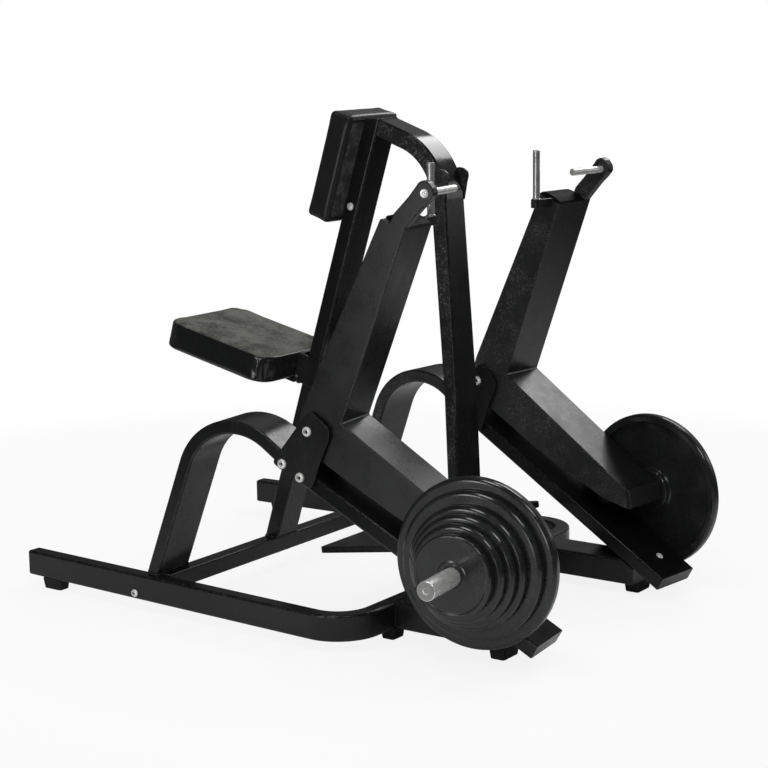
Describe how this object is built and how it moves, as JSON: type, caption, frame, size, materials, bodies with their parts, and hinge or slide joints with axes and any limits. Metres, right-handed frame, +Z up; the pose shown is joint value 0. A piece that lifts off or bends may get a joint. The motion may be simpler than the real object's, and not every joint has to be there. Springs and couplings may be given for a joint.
{
  "type": "chest-supported plate-loaded row machine",
  "caption": "Chest-supported row machine with independent swinging arms, disc sleeves, a chest pad, an adjustable seat and a bent-tube base.",
  "frame": {"origin": "on the floor, below the middle of the whole machine", "axes": "+X is the way the user faces, toward the discs; +Y is the user's left; +Z is up"},
  "size_m": [1.7436, 1.5056, 1.3889],
  "materials": {
    "black_paint": "satin black powder coat",
    "arm_paint": "satin black powder coat, slightly lighter where it faces up",
    "bright_steel": "bright turned steel",
    "black_rubber": "moulded black rubber",
    "black_plastic": "moulded black plastic",
    "disc_iron": "black enamelled iron, semi-gloss",
    "pad_vinyl": "black grained vinyl",
    "seat_vinyl": "worn grey-black grained vinyl"
  },
  "bodies": {
    "frame": {"base_frame": "black_paint", "rail_cap_right": "black_plastic", "rail_cap_left": "black_plastic", "rear_crossbar": "black_paint", "foot_rear_right": "black_rubber", "foot_rear_left": "black_rubber", "foot_middle_right": "black_rubber", "foot_middle_left": "black_rubber", "foot_front_right": "black_rubber", "foot_front_left": "black_rubber", "pivot_plate_outer_right": "black_paint", "pivot_plate_outer_left": "black_paint", "pivot_plate_inner_right": "black_paint", "pivot_plate_inner_left": "black_paint", "pivot_bolt_right": "bright_steel", "pivot_bolt_left": "bright_steel", "arch_bolt_right": "bright_steel", "arch_bolt_left": "bright_steel", "bar_bolt_right": "bright_steel", "bar_bolt_left": "bright_steel", "front_bar_right": "black_paint", "front_bar_left": "black_paint", "arch_right": "black_paint", "arch_left": "black_paint", "bump_stop_right": "black_rubber", "bump_stop_left": "black_rubber", "seat_post": "black_paint", "front_column": "black_paint", "top_bar": "black_paint", "foot_plate": "black_paint", "chest_board": "black_plastic", "chest_pad": "pad_vinyl"},
    "seat": {"seat_carriage": "black_paint", "seat_board": "black_plastic", "seat_cushion": "seat_vinyl"},
    "latch": {"seat_latch": "bright_steel"},
    "arm_right": {"arm_right": "arm_paint", "arm_top_cap_right": "black_plastic", "arm_end_cap_right": "black_plastic", "cross_handle_right": "bright_steel", "upright_handle_right": "bright_steel", "sleeve_right": "bright_steel"},
    "arm_left": {"arm_left": "arm_paint", "arm_top_cap_left": "black_plastic", "arm_end_cap_left": "black_plastic", "cross_handle_left": "bright_steel", "upright_handle_left": "bright_steel", "sleeve_left": "bright_steel"},
    "discs_right": {"disc_1_right": "disc_iron", "disc_2_right": "disc_iron", "disc_3_right": "disc_iron", "disc_4_right": "disc_iron", "disc_5_right": "disc_iron", "disc_6_right": "disc_iron"},
    "discs_left": {"disc_1_left": "disc_iron", "disc_2_left": "disc_iron", "disc_3_left": "disc_iron", "disc_4_left": "disc_iron", "disc_5_left": "disc_iron", "disc_6_left": "disc_iron"}
  },
  "joints": [
    {"name": "arm_right_swing", "type": "hinge", "parent": "frame", "child": "arm_right", "pos_m": [0.14199, -0.43222, 0.568], "axis": [0.1155, -0.9933, 0], "range_deg": [0, 40]},
    {"name": "arm_left_swing", "type": "hinge", "parent": "frame", "child": "arm_left", "pos_m": [0.14199, 0.43222, 0.568], "axis": [-0.1155, -0.9933, 0], "range_deg": [0, 40]},
    {"name": "discs_right_slide", "type": "slide", "parent": "arm_right", "child": "discs_right", "axis": [0.1155, -0.9933, 0], "range_m": [0, 0.13]},
    {"name": "discs_left_slide", "type": "slide", "parent": "arm_left", "child": "discs_left", "axis": [0.1155, 0.9933, 0], "range_m": [0, 0.13]},
    {"name": "seat_height", "type": "slide", "parent": "frame", "child": "seat", "axis": [0.3013, 0, 0.9535], "range_m": [0, 0.07]},
    {"name": "latch_release", "type": "hinge", "parent": "seat", "child": "latch", "pos_m": [-0.24399, 0, 0.60882], "axis": [0, -1, 0], "range_deg": [0, 10]}
  ]
}
